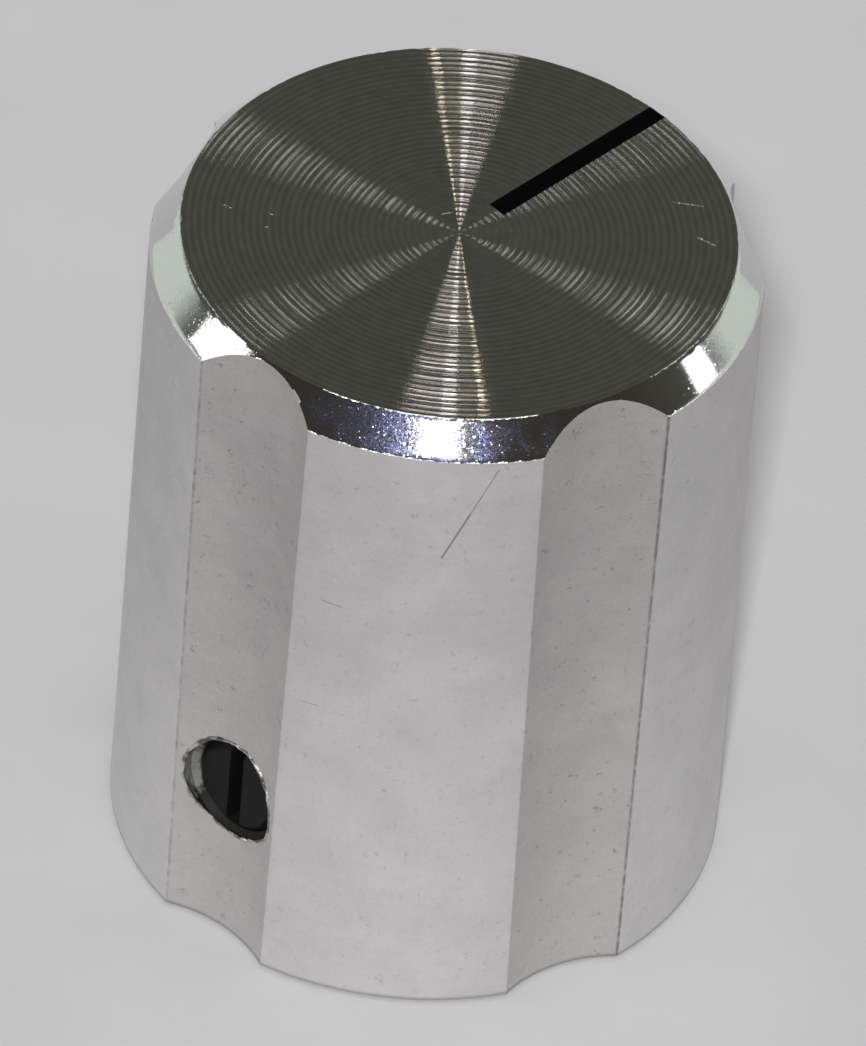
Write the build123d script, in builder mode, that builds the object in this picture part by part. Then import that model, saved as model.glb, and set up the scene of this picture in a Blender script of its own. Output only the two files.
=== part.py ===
from build123d import *
import math
import os

# Fluted aluminium control knob for a 1/4 inch shaft, in millimetres.
# The knob's axis is Z, and the underside that faces the panel lies in Z = 0.
# A slotted set screw sits in the middle of the flute that faces -Y, and the
# black pointer line on the face runs away from it, close to +Y.

# Turned outside
body_diameter = 21.0
body_height = 26.0
face_diameter = 19.0  # spun flat face, inside the polished chamfer
chamfer_height = 1.15
base_edge_break = 0.12

# Finger flutes, milled with a round cutter whose axis leans in towards the top
flute_count = 5
flute_cutter_radius = 5.1
flute_floor_base = 9.77  # from the knob's axis to the flute's floor, at the base
flute_floor_top = 9.58  # the same at the foot of the chamfer

# Underside
shaft_diameter = 6.35
shaft_clearance = 0.05  # on the diameter
shaft_hole_depth = 18.0  # full-diameter depth, measured from the underside
drill_tip_angle = 118.0
shaft_hole_lead = 0.3  # chamfer at the mouth of the shaft hole
nut_recess_diameter = 14.5
nut_recess_depth = 3.0

# Set screw, no. 6, and its hole
screw_diameter = 3.505
screw_length = 4.76
screw_height = 6.5  # above the underside
screw_sunk = 0.05  # from the flute's floor to the screw's outer face
screw_bevel = 0.22
screw_slot_width = 0.6
screw_slot_depth = 0.85
cup_point_diameter = 2.0
cup_point_depth = 0.45
thread_clearance = 0.02  # on the radius, between the crests and the hole
screw_hole_mouth_diameter = 3.97
screw_hole_mouth_angle = 90.0

# Pointer line on the face: a milled groove filled with black enamel
pointer_width = 0.74
pointer_inner_end = 1.78  # from the knob's axis
groove_depth = 0.3
fill_below_face = 0.03
pointer_skew = 3.2  # degrees short of straight across from the set screw

body_radius = body_diameter / 2
face_radius = face_diameter / 2
chamfer_foot = body_height - chamfer_height

# The blank as it leaves the lathe: a plain round bar end with a chamfered rim
with BuildPart() as turned_blank:
    with BuildSketch(Plane.XZ):
        with BuildLine():
            Polyline(
                (0, 0),
                (body_radius, 0),
                (body_radius, chamfer_foot),
                (face_radius, body_height),
                (0, body_height),
                close=True,
            )
        make_face()
    revolve(axis=Axis.Z)

# One pass of the flute cutter, facing -Y. It is longer than the knob at both ends.
cutter_at_base = Vector(0, -(flute_floor_base + flute_cutter_radius), 0)
cutter_at_foot = Vector(0, -(flute_floor_top + flute_cutter_radius), chamfer_foot)
cutter_plane = Plane(cutter_at_base, x_dir=(1, 0, 0), z_dir=cutter_at_foot - cutter_at_base)
with BuildPart() as flute_pass:
    with BuildSketch(cutter_plane.offset(-body_radius)):
        Circle(flute_cutter_radius)
    extrude(amount=body_height + body_diameter)

# The outside of the knob: the flutes run out through the chamfer and stop just
# short of the face, so the chamfer is scalloped and the face stays round.
with BuildPart() as fluted_form:
    add(turned_blank.part)
    with PolarLocations(0, flute_count):
        add(flute_pass.part, mode=Mode.SUBTRACT)
    chamfer(fluted_form.faces().sort_by(Axis.Z)[0].outer_wire().edges(), length=base_edge_break)

# Underside cavities, as one turned section: nut recess, lead, shaft hole, drill tip
shaft_hole_radius = (shaft_diameter + shaft_clearance) / 2
drill_tip = shaft_hole_radius / math.tan(math.radians(drill_tip_angle / 2))
with BuildPart() as underside_cavity:
    with BuildSketch(Plane.XZ):
        with BuildLine():
            Polyline(
                (0, 0),
                (nut_recess_diameter / 2, 0),
                (nut_recess_diameter / 2, nut_recess_depth),
                (shaft_hole_radius + shaft_hole_lead, nut_recess_depth),
                (shaft_hole_radius, nut_recess_depth + shaft_hole_lead),
                (shaft_hole_radius, shaft_hole_depth),
                (0, shaft_hole_depth + drill_tip),
                close=True,
            )
        make_face()
    revolve(axis=Axis.Z)

# The set screw's hole starts square to the axis on the flute's floor
floor_slope = (flute_floor_top - flute_floor_base) / chamfer_foot
floor_at_screw = flute_floor_base + floor_slope * screw_height
screw_plane = Plane((0, -floor_at_screw, screw_height), x_dir=(1, 0, 0), z_dir=(0, -1, 0))

# The pointer groove's outline, from its square inner end out past the rim
pointer_angle = math.radians(90 - pointer_skew)
pointer_plane = Plane(
    (0, 0, body_height),
    x_dir=(math.cos(pointer_angle), math.sin(pointer_angle), 0),
    z_dir=(0, 0, 1),
)

with BuildPart() as knob_body:
    add(fluted_form.part)
    add(underside_cavity.part, mode=Mode.SUBTRACT)
    with Locations(screw_plane):
        CounterSinkHole(
            radius=screw_diameter / 2 + thread_clearance,
            counter_sink_radius=screw_hole_mouth_diameter / 2,
            depth=floor_at_screw,
            counter_sink_angle=screw_hole_mouth_angle,
        )
    with BuildSketch(pointer_plane):
        with Locations((pointer_inner_end, 0)):
            Rectangle(body_radius, pointer_width, align=(Align.MIN, Align.CENTER))
    extrude(amount=-groove_depth, mode=Mode.SUBTRACT)

# Enamel in the groove, cut off by the same chamfer at the rim
with BuildPart() as pointer_fill:
    with BuildSketch(pointer_plane.offset(-groove_depth)):
        with Locations((pointer_inner_end, 0)):
            Rectangle(body_radius, pointer_width, align=(Align.MIN, Align.CENTER))
    extrude(amount=groove_depth - fill_below_face)
    add(fluted_form.part, mode=Mode.INTERSECT)

# Slotted headless screw with a bevelled outer end and a cup point.
# Its section is drawn with X along the radius and Y along the screw, outwards.
screw_radius = screw_diameter / 2
cup_radius = cup_point_diameter / 2
screw_face = screw_plane.offset(-screw_sunk)
with BuildPart() as set_screw:
    with BuildSketch(Plane(screw_face.origin, x_dir=(1, 0, 0), z_dir=(0, 0, 1))):
        with BuildLine():
            Polyline(
                (0, 0),
                (screw_radius - screw_bevel, 0),
                (screw_radius, screw_bevel),
                (screw_radius, screw_length - (screw_radius - cup_radius)),
                (cup_radius, screw_length),
                (0, screw_length - cup_point_depth),
                close=True,
            )
        make_face()
    revolve(axis=Axis(screw_face.origin, (0, 1, 0)))
    with BuildSketch(screw_face):
        Rectangle(screw_slot_width, screw_diameter)
    extrude(amount=-screw_slot_depth, mode=Mode.SUBTRACT)

os.makedirs("parts", exist_ok=True)
for name, piece in (
    ("knob_body", knob_body),
    ("set_screw", set_screw),
    ("pointer_fill", pointer_fill),
):
    piece.part.label = name
    export_step(piece.part, f"parts/{name}.step")
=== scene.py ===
import math
import random

import bpy
from mathutils import Matrix, Vector


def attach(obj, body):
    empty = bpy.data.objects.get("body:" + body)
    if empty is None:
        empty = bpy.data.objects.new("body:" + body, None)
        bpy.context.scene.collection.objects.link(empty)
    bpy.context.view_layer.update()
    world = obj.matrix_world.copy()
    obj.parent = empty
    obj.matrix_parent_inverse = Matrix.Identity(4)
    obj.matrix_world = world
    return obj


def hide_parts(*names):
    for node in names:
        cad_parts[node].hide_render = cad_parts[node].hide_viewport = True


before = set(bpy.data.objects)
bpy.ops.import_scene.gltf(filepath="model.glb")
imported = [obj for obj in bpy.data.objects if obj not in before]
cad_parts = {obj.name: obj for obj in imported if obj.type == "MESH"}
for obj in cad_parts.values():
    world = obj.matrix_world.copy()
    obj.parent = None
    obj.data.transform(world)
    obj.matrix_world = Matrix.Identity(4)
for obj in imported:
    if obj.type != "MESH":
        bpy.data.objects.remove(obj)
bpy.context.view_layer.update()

# A turned and fluted aluminium control knob, standing on its underside.
# Shapes are worked out in millimetres in the row's frame and baked in metres.
MM = 0.001

# The knob's sizes, as in the part's source
body_radius = 10.5
body_height = 26.0
face_radius = 9.5
chamfer_height = 1.15
chamfer_foot = body_height - chamfer_height
chamfer_slope = chamfer_height / (body_radius - face_radius)
base_edge_break = 0.12
flute_count = 5
cutter_radius = 5.1
floor_at_base = 9.77  # from the knob's axis to a flute's floor
floor_at_foot = 9.58
cutter_at_base = floor_at_base + cutter_radius
cutter_at_foot = floor_at_foot + cutter_radius
shaft_hole_radius = 3.2
shaft_hole_depth = 18.0
drill_point = 118  # degrees
drill_tip = shaft_hole_radius / math.tan(math.radians(drill_point / 2))
shaft_hole_lead = 0.3
nut_recess_radius = 7.25
nut_recess_depth = 3.0
screw_radius = 1.7525
screw_length = 4.76
screw_height = 6.5
screw_sunk = 0.05
screw_bevel = 0.22
screw_play = 0.02
slot_width = 0.6
slot_depth = 0.85
cup_radius = 1.0
cup_depth = 0.45
screw_hole_radius = screw_radius + screw_play
screw_hole_mouth = 1.985
pointer_width = 0.74
pointer_start = 1.78
pointer_off_line = 3.2  # degrees off the line opposite the set screw
pointer_angle = math.radians(90 - pointer_off_line)
groove_depth = 0.3
fill_below_face = 0.03

# Fine forms that the part's source leaves to this script
ring_pitch = 0.25  # the feed of the tool that spun the face
ring_depth = 0.015
thread_pitch = 0.794  # 32 threads to the inch
thread_depth = 0.3
thread_run_in = 0.3
thread_run_out = 0.9
cup_lip = 0.1
fill_sag = 0.02
edge_softness = 0.025
burr_thickness = 0.07
scratches = (  # ends on the knob's skin, width, and how dark each is
    ((8.05, -6.74, 24.54), (7.47, -7.38, 22.53), 0.045, 0.4),
    ((7.47, -7.38, 22.53), (6.86, -7.95, 20.54), 0.07, 0.5),
    ((3.41, -9.93, 17.60), (4.06, -9.68, 17.55), 0.05, 0.3),
    ((2.90, -10.09, 12.77), (3.55, -9.88, 12.79), 0.04, 0.25),
)
face_scratches = (
    ((4.01, 6.41, 26.0), (4.86, 7.0, 26.0), 0.06, 0.5),
    ((5.81, 5.69, 26.0), (6.54, 5.79, 26.0), 0.07, 0.5),
    ((-6.58, -4.78, 26.0), (-6.23, -4.71, 26.0), 0.05, 0.5),
    ((-5.32, -3.99, 26.0), (-4.97, -3.92, 26.0), 0.05, 0.45),
    ((-4.82, -4.58, 26.0), (-4.59, -4.49, 26.0), 0.05, 0.45),
    ((-1.04, 0.26, 26.0), (-0.87, 0.58, 26.0), 0.04, 0.5),
)

# What the photograph fixes: the camera's place, in degrees, metres and its own 866 x 1046 pixels
photo_height = 1046
view_azimuth = 39.2
view_elevation = 41.933
view_roll = 4.645
view_distance = 1.05
focal_pixels = 30641.86
centre_shift = (2.67, 1.50)
look_at_height = 12.6 * MM
sensor_long_side = 36.0

# The stage, in metres
floor_half = 0.6
strip_ceiling = 1.0
strip_length = 0.5
strip_mirror = 1.11  # how far behind the knob the flat face shows the ceiling to the camera
strip_reach = 1.16  # from that point to a strip's middle
strip_lean = 0.755  # how much less a strip leans than its beam, as tangents


def linear(hex_colour):
    """An sRGB hex colour as Blender's linear red, green, blue and alpha."""
    parts = [int(hex_colour[i : i + 2], 16) / 255 for i in (1, 3, 5)]
    return (*[c / 12.92 if c <= 0.04045 else ((c + 0.055) / 1.055) ** 2.4 for c in parts], 1.0)


def feed(node, values):
    """Fills a node's inputs with values, hex colours or links. A node given stands for its first output."""
    for socket, value in values.items():
        if isinstance(value, bpy.types.Node):
            value = next(output for output in value.outputs if output.enabled)
        if isinstance(value, bpy.types.NodeSocket):
            node.id_data.links.new(value, node.inputs[socket])
        elif isinstance(value, str) and value.startswith("#"):
            node.inputs[socket].default_value = linear(value)
        else:
            node.inputs[socket].default_value = value


def add_node(tree, kind, values=(), **settings):
    """Adds one node, sets its properties, and fills its inputs, given in their order or by name."""
    node = tree.nodes.new(kind)
    for name, setting in settings.items():
        setattr(node, name, setting)
    feed(node, values if isinstance(values, dict) else dict(enumerate(values)))
    return node


def new_finish(name):
    """An empty material, with its tree, its Principled node, and each point's place on the piece."""
    material = bpy.data.materials.new(name)
    material.use_nodes = True
    tree = material.node_tree
    place = add_node(tree, "ShaderNodeTexCoord").outputs["Object"]
    return material, tree, tree.nodes["Principled BSDF"], place


def scratch_mask(tree, place, marks):
    """How much of a scratch lies at each point, from 0 to 1, for straight scratches given by their ends."""
    total = None
    for start, finish, width, strength in marks:
        a, b = Vector(start) * MM, Vector(finish) * MM
        per_length = tuple((b - a) / (b - a).length_squared)
        from_start = add_node(tree, "ShaderNodeVectorMath", (place, tuple(a)), operation="SUBTRACT")
        along = add_node(tree, "ShaderNodeVectorMath", (from_start, per_length), operation="DOT_PRODUCT")
        held = add_node(tree, "ShaderNodeMapRange", (along,))
        nearest = add_node(tree, "ShaderNodeVectorMath", {0: tuple(b - a), "Scale": held}, operation="SCALE")
        gap = add_node(tree, "ShaderNodeVectorMath", (from_start, nearest), operation="DISTANCE")
        inner, outer = width * 0.25 * MM, width * 0.75 * MM
        mark = add_node(tree, "ShaderNodeMapRange", (gap, inner, outer, strength, 0.0))
        if total is not None:
            mark = add_node(tree, "ShaderNodeMath", (total, mark), operation="MAXIMUM")
        total = mark
    return total


def satin_aluminium(name, light, dark, roughness, smudge):
    """Fine-turned or milled, then blasted and clear-anodised aluminium: a pale satin grey.

    Blasting leaves an even grain, handling leaves soft smudges and a few dark pits, and dirt has settled
    along the flutes' edges."""
    material, tree, shader, place = new_finish(name)

    # Millimetres across: the grit's dents, the smudges, the pits, and the breaks and fades in the dirt
    grain, stain, specks, breaks, fades = (
        add_node(
            tree,
            "ShaderNodeTexNoise",
            {"Vector": place, "Scale": 1 / (size * MM), "Detail": detail, "Roughness": fineness},
        )
        for size, detail, fineness in (
            (0.12, 3.0, 0.5),
            (2.2, 5.0, 0.65),
            (0.38, 3.0, 0.75),
            (0.35, 3.0, 0.5),
            (9, 1.0, 0.5),
        )
    )

    # Faint lines run round the knob, 2.5 mm long and a ninth as high
    flat = add_node(tree, "ShaderNodeVectorMath", (place, (1.0, 1.0, 9.0)), operation="MULTIPLY")
    lines = add_node(tree, "ShaderNodeTexNoise", {"Vector": flat, "Scale": 1 / (2.5 * MM), "Detail": 4.0})
    streaked = add_node(tree, "ShaderNodeMix", {"Factor": 0.2, "A": stain, "B": lines}, data_type="FLOAT")
    tone = add_node(tree, "ShaderNodeMix", {"Factor": 0.3, "A": streaked, "B": grain}, data_type="FLOAT")
    clouded = add_node(tree, "ShaderNodeMapRange", (tone, 0.35, 0.65, 0.0, 0.5))

    # Painted light: the wall is painted paler towards its foot, standing in for the light that the floor
    # throws back onto it
    level = add_node(tree, "ShaderNodeSeparateXYZ", (place,)).outputs["Z"]
    paler_by_place = add_node(tree, "ShaderNodeMapRange", (level, 1 * MM, 20 * MM, 0.65, 0.0))
    paler = add_node(tree, "ShaderNodeMath", (clouded, paler_by_place), operation="ADD")
    metal = add_node(tree, "ShaderNodeMix", {"Factor": paler, "A": dark, "B": light}, data_type="RGBA")

    # Dirt along the flutes' edges, broken up so that it comes and goes, and at the foot a dark band of
    # painted contact shade with some dirt
    edge = add_node(tree, "ShaderNodeAttribute", attribute_name="flute_edge").outputs["Fac"]
    filled = add_node(tree, "ShaderNodeAttribute", attribute_name="edge_dirt").outputs["Fac"]
    share = add_node(tree, "ShaderNodeMath", (filled, edge), operation="DIVIDE")
    ragged = add_node(tree, "ShaderNodeMath", (share, breaks), operation="MULTIPLY")
    depth = add_node(tree, "ShaderNodeMapRange", (ragged, 0.22, 0.55, 0.0, 0.6))
    narrow = add_node(tree, "ShaderNodeMapRange", (edge, 0.64, 0.92))
    line = add_node(tree, "ShaderNodeMath", (depth, narrow), operation="MULTIPLY")
    patch = add_node(tree, "ShaderNodeMapRange", (fades, 0.35, 0.65, 0.6, 1.0))
    dirt = add_node(tree, "ShaderNodeMath", (line, patch), operation="MULTIPLY")
    # Painted shade: a thin dark band where the knob stands on the floor, with some dirt in it
    foot = add_node(tree, "ShaderNodeMapRange", (level, 0.1 * MM, 0.28 * MM, 0.45, 0.0))
    dirt = add_node(tree, "ShaderNodeMath", (dirt, foot), operation="MAXIMUM")

    pits = add_node(tree, "ShaderNodeMapRange", (specks, 0.61, 0.81, 0.0, smudge))
    marks = add_node(
        tree, "ShaderNodeMath", (pits, scratch_mask(tree, place, scratches)), operation="MAXIMUM"
    )
    marks = add_node(tree, "ShaderNodeMath", (marks, dirt), operation="MAXIMUM")
    # Pits, scratches, edge dirt and the painted shade at the foot all take the same dark grey
    colour = add_node(tree, "ShaderNodeMix", {"Factor": marks, "A": metal, "B": "#3E3B38"}, data_type="RGBA")
    relief = add_node(tree, "ShaderNodeMath", (grain, marks), operation="SUBTRACT")
    bump = add_node(tree, "ShaderNodeBump", {"Strength": 0.25, "Distance": 0.02 * MM, "Height": relief})
    upright = add_node(tree, "ShaderNodeCombineXYZ", {"Z": 1.0})
    feed(shader, {"Base Color": colour, "Metallic": 1.0, "Roughness": roughness, "Normal": bump})
    feed(shader, {"Anisotropic": 0.35, "Tangent": upright})
    return material


def bright_cut_aluminium():
    """Aluminium cut with a polished tool: a near mirror.

    Hair-fine knocks tilt small spots of it, most of them on the side that is used, and those glint white and
    blue. The two edges are knocked ragged and rougher."""
    material, tree, shader, place = new_finish("bright_cut_aluminium")

    # Knocks about 0.01 mm across are drawn 0.04 mm across, so that they show
    spots = add_node(tree, "ShaderNodeTexVoronoi", {"Vector": place, "Scale": 1 / (0.04 * MM)}).outputs
    drawn = add_node(tree, "ShaderNodeTexWhiteNoise", {"Vector": spots["Position"]}).outputs["Color"]
    chance = add_node(tree, "ShaderNodeSeparateColor", {"Color": spots["Color"]})
    patches, ragged = (
        add_node(tree, "ShaderNodeTexNoise", {"Vector": place, "Scale": 1 / (size * MM), "Detail": detail})
        for size, detail in ((1.1, 3.0), (0.2, 2.0))
    )

    # The used side is the lobe next to the set screw's flute
    used_side = tuple(direction(268, 0) / (10 * MM))
    towards = add_node(tree, "ShaderNodeVectorMath", (place, used_side), operation="DOT_PRODUCT")
    used = add_node(tree, "ShaderNodeMapRange", (towards, 0.80, 0.92, 0.3, 1.0))
    patchy = add_node(tree, "ShaderNodeMapRange", (patches, 0.3, 0.6, 0.35, 1.0))
    knocked = add_node(tree, "ShaderNodeMath", (patchy, used), operation="MULTIPLY")

    # The edges are torn where the mesh has its nicks
    nick = add_node(tree, "ShaderNodeAttribute", attribute_name="nick").outputs["Fac"]
    torn = add_node(tree, "ShaderNodeMath", (ragged, 0.45), operation="ADD")
    torn = add_node(tree, "ShaderNodeMath", (nick, torn), operation="MULTIPLY")
    rim = add_node(tree, "ShaderNodeMapRange", (torn, 0.72, 0.9))

    few = add_node(tree, "ShaderNodeMath", (chance, 7.0), operation="POWER")
    glints = add_node(tree, "ShaderNodeMath", (few, knocked), operation="MULTIPLY")
    glints = add_node(tree, "ShaderNodeMath", (glints, 0.45), operation="MULTIPLY")
    tears = add_node(tree, "ShaderNodeMath", (rim, 0.7), operation="MULTIPLY")
    tilt = add_node(tree, "ShaderNodeMath", (glints, tears), operation="ADD")
    offset = add_node(tree, "ShaderNodeVectorMath", (drawn, (0.5, 0.5, 0.5)), operation="SUBTRACT")
    leaning = add_node(tree, "ShaderNodeVectorMath", {0: offset, "Scale": tilt}, operation="SCALE")
    skin = add_node(tree, "ShaderNodeNewGeometry").outputs["Normal"]
    turned = add_node(tree, "ShaderNodeVectorMath", (skin, leaning), operation="ADD")
    normal = add_node(tree, "ShaderNodeVectorMath", (turned,), operation="NORMALIZE")

    # Between the knocks a bloom of dull points scatters a bluish haze
    bloom = add_node(tree, "ShaderNodeTexVoronoi", {"Vector": place, "Scale": 1 / (0.012 * MM)})
    bloom = add_node(tree, "ShaderNodeSeparateColor", {"Color": bloom.outputs["Color"]})
    dull = add_node(tree, "ShaderNodeMath", (bloom, 0.8), operation="GREATER_THAN")
    dull = add_node(tree, "ShaderNodeMath", (dull, knocked), operation="MULTIPLY")
    hazy = add_node(tree, "ShaderNodeMapRange", (dull, 0.0, 1.0, 0.05, 0.25))
    rough = add_node(tree, "ShaderNodeMapRange", (rim, 0.0, 1.0, 0.06, 0.5))
    rough = add_node(tree, "ShaderNodeMath", (hazy, rough), operation="MAXIMUM")
    off_rim = add_node(tree, "ShaderNodeMath", (1.0, rim), operation="SUBTRACT")
    blue = add_node(tree, "ShaderNodeMath", (dull, off_rim), operation="MULTIPLY")
    tint = add_node(tree, "ShaderNodeMix", {"Factor": blue, "A": "#E6E6E4", "B": "#A9B2EC"}, data_type="RGBA")
    feed(shader, {"Base Color": tint, "Metallic": 1.0, "Roughness": rough, "Normal": normal})
    return material


def spun_aluminium():
    """Aluminium faced with a fine feed: the rings throw light out from the centre in narrow beams."""
    material, tree, shader, place = new_finish("spun_aluminium")
    outwards = add_node(tree, "ShaderNodeVectorMath", (place, (1.0, 1.0, 0.0)), operation="MULTIPLY")
    radial = add_node(tree, "ShaderNodeVectorMath", (outwards,), operation="NORMALIZE")
    from_axis = add_node(tree, "ShaderNodeVectorMath", (outwards,), operation="LENGTH")

    # The tool's own fine grooves, a few thousandths of a millimetre wide, are drawn 0.007 mm wide
    grooves = add_node(
        tree,
        "ShaderNodeTexNoise",
        {"W": from_axis, "Scale": 1 / (0.007 * MM), "Detail": 1.0},
        noise_dimensions="1D",
    )
    slope = add_node(tree, "ShaderNodeMapRange", (grooves, 0.25, 0.75, -0.4, 0.4))
    leaning = add_node(tree, "ShaderNodeVectorMath", {0: radial, "Scale": slope}, operation="SCALE")

    # Inside a scratch the metal lies in small broken facets
    knocks = scratch_mask(tree, place, face_scratches)
    facets = add_node(tree, "ShaderNodeTexVoronoi", {"Vector": place, "Scale": 1 / (0.05 * MM)}).outputs
    offset = add_node(tree, "ShaderNodeVectorMath", (facets["Color"], (0.5, 0.5, 0.5)), operation="SUBTRACT")
    strength = add_node(tree, "ShaderNodeMath", (knocks, 3.5), operation="MULTIPLY")
    broken = add_node(tree, "ShaderNodeVectorMath", {0: offset, "Scale": strength}, operation="SCALE")
    skin = add_node(tree, "ShaderNodeNewGeometry").outputs["Normal"]
    tilted = add_node(tree, "ShaderNodeVectorMath", (skin, leaning), operation="ADD")
    tilted = add_node(tree, "ShaderNodeVectorMath", (tilted, broken), operation="ADD")
    normal = add_node(tree, "ShaderNodeVectorMath", (tilted,), operation="NORMALIZE")
    dull = add_node(tree, "ShaderNodeMapRange", (knocks, 0.0, 0.5, 0.10, 0.6))

    # Each ring has a paler crest, which fades out towards the centre
    turns = add_node(tree, "ShaderNodeMath", (from_axis, math.tau / (ring_pitch * MM)), operation="MULTIPLY")
    crest = add_node(tree, "ShaderNodeMath", (turns,), operation="COSINE")
    clear = add_node(tree, "ShaderNodeMapRange", (from_axis, 0.5 * MM, 4 * MM, 0.0, 0.33))
    haze = add_node(tree, "ShaderNodeTexNoise", {"Vector": place, "Scale": 1 / (0.5 * MM), "Detail": 3.0})
    ring = add_node(tree, "ShaderNodeMath", (crest, clear, haze), operation="MULTIPLY_ADD")
    base = add_node(tree, "ShaderNodeMix", {"Factor": ring, "A": "#B3B3AB", "B": "#D2D2CB"}, data_type="RGBA")
    colour = add_node(tree, "ShaderNodeMix", {"Factor": knocks, "A": base, "B": "#F4F4F0"}, data_type="RGBA")
    feed(shader, {"Base Color": colour, "Metallic": 1.0, "Roughness": dull, "Normal": normal})
    feed(shader, {"Anisotropic": 1.0, "Tangent": radial})
    return material


def bored_aluminium():
    """Aluminium as a drill and a boring tool leave it: grey and half dull, with soft chatter bands."""
    material, tree, shader, place = new_finish("bored_aluminium")

    # The wave node draws 20 / (2 pi) bands in a unit, so these lie 1.26 mm apart
    marks = add_node(
        tree,
        "ShaderNodeTexWave",
        {"Vector": place, "Scale": 1 / (4 * MM), "Distortion": 0.6, "Detail Scale": 2.0},
        bands_direction="Z",
    ).outputs["Fac"]
    bump = add_node(tree, "ShaderNodeBump", {"Strength": 0.3, "Distance": 0.02 * MM, "Height": marks})
    feed(shader, {"Base Color": "#C4C4C4", "Metallic": 1.0, "Roughness": 0.38, "Normal": bump})
    return material


def tapped_aluminium():
    """The tapped hole's wall and mouth: dark with thread grime and with painted shade for the hole and its
    threads, which are not drawn; bare where the countersink was knocked.
    """
    material, tree, shader, place = new_finish("tapped_aluminium")
    grime = add_node(tree, "ShaderNodeTexNoise", {"Vector": place, "Scale": 1 / (0.35 * MM), "Detail": 4.0})
    side = add_node(tree, "ShaderNodeSeparateXYZ", (place,)).outputs["X"]
    rim = -screw_hole_radius * 0.95 * MM
    inner = -screw_hole_radius * 0.75 * MM
    paler_by_place = add_node(tree, "ShaderNodeMapRange", (side, rim, inner, 0.55, 0.0))
    shown = add_node(tree, "ShaderNodeMath", (grime, paler_by_place), operation="ADD")
    bare = add_node(tree, "ShaderNodeMapRange", (shown, 0.8, 1.1))
    # The dark grey is thread grime together with painted shade in the hole
    tint = add_node(tree, "ShaderNodeMix", {"Factor": bare, "A": "#1E1D1C", "B": "#8F8E8C"}, data_type="RGBA")
    feed(shader, {"Base Color": tint, "Metallic": 0.6, "Roughness": 0.6})
    return material


def torn_aluminium():
    """The burr that the drill pushed up round the screw hole: bare, bright and ragged."""
    material, tree, shader, place = new_finish("torn_aluminium")
    torn, grime = (
        add_node(tree, "ShaderNodeTexNoise", {"Vector": place, "Scale": 1 / (size * MM), "Detail": 3.0})
        for size in (0.2, 0.6)
    )
    bump = add_node(tree, "ShaderNodeBump", {"Strength": 0.6, "Distance": 0.03 * MM, "Height": torn})
    bare = add_node(tree, "ShaderNodeMapRange", (grime, 0.4, 0.62))
    tint = add_node(tree, "ShaderNodeMix", {"Factor": bare, "A": "#6E6C69", "B": "#DAD9D8"}, data_type="RGBA")
    feed(shader, {"Base Color": tint, "Metallic": 1.0, "Roughness": 0.3, "Normal": bump})
    return material


def black_oxide_steel():
    """Hardened steel, chemically blackened: almost no colour, a faint dry sheen."""
    material, tree, shader, place = new_finish("black_oxide_steel")
    soot = add_node(tree, "ShaderNodeTexNoise", {"Vector": place, "Scale": 1 / (0.15 * MM), "Detail": 3.0})
    tint = add_node(tree, "ShaderNodeMix", {"Factor": soot, "A": "#0B0B0A", "B": "#171615"}, data_type="RGBA")
    bump = add_node(tree, "ShaderNodeBump", {"Strength": 0.2, "Distance": 0.01 * MM, "Height": soot})
    feed(shader, {"Base Color": tint, "Roughness": 0.6, "Specular IOR Level": 0.15, "Normal": bump})
    return material


def black_enamel():
    """Stoved enamel wiped into the groove: deep black, with a soft shine and a dusty grain."""
    material, tree, shader, place = new_finish("black_enamel")
    dust = add_node(tree, "ShaderNodeTexNoise", {"Vector": place, "Scale": 1 / (0.1 * MM), "Detail": 3.0})
    tint = add_node(tree, "ShaderNodeMix", {"Factor": dust, "A": "#020202", "B": "#050505"}, data_type="RGBA")
    feed(shader, {"Base Color": tint, "Roughness": 0.5, "Specular IOR Level": 0.05})
    return material


def paper():
    """The pale floor: matt paper with a barely visible tone to it."""
    material, tree, shader, place = new_finish("pale_paper")
    pulp = add_node(tree, "ShaderNodeTexNoise", {"Vector": place, "Scale": 1 / (9 * MM), "Detail": 5.0})
    tint = add_node(tree, "ShaderNodeMix", {"Factor": pulp, "A": "#CBCCCE", "B": "#D8D9DB"}, data_type="RGBA")
    feed(shader, {"Base Color": tint, "Roughness": 0.9})
    return material


def new_tree(name, sizes):
    """An empty Geometry Nodes tree that takes a geometry, and each size or finish given, and returns one."""
    tree = bpy.data.node_groups.new(name, "GeometryNodeTree")
    tree.interface.new_socket("Geometry", in_out="INPUT", socket_type="NodeSocketGeometry")
    for label, value in sizes.items():
        kind = {int: "NodeSocketInt", float: "NodeSocketFloat"}.get(type(value), "NodeSocketMaterial")
        tree.interface.new_socket(label, in_out="INPUT", socket_type=kind)
    tree.interface.new_socket("Geometry", in_out="OUTPUT", socket_type="NodeSocketGeometry")
    return tree, tree.nodes.new("NodeGroupInput").outputs


def end_tree(tree, geometry, material=None):
    """Closes a tree: instances become real, and the whole takes the finish given, if there is one."""
    geometry = add_node(tree, "GeometryNodeRealizeInstances", {"Geometry": geometry})
    if material is not None:
        geometry = add_node(tree, "GeometryNodeSetMaterial", {"Geometry": geometry, "Material": material})
    add_node(tree, "NodeGroupOutput", {"Geometry": geometry})
    return tree


def wear_tree(piece, tree, sizes):
    """Puts a tree on a piece as a modifier, with each named input set by its socket's identifier."""
    modifier = piece.modifiers.new(tree.name, "NODES")
    modifier.node_group = tree
    sockets = {s.name: s.identifier for s in tree.interface.items_tree if s.in_out == "INPUT"}
    for label, value in sizes.items():
        modifier[sockets[label]] = value


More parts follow.
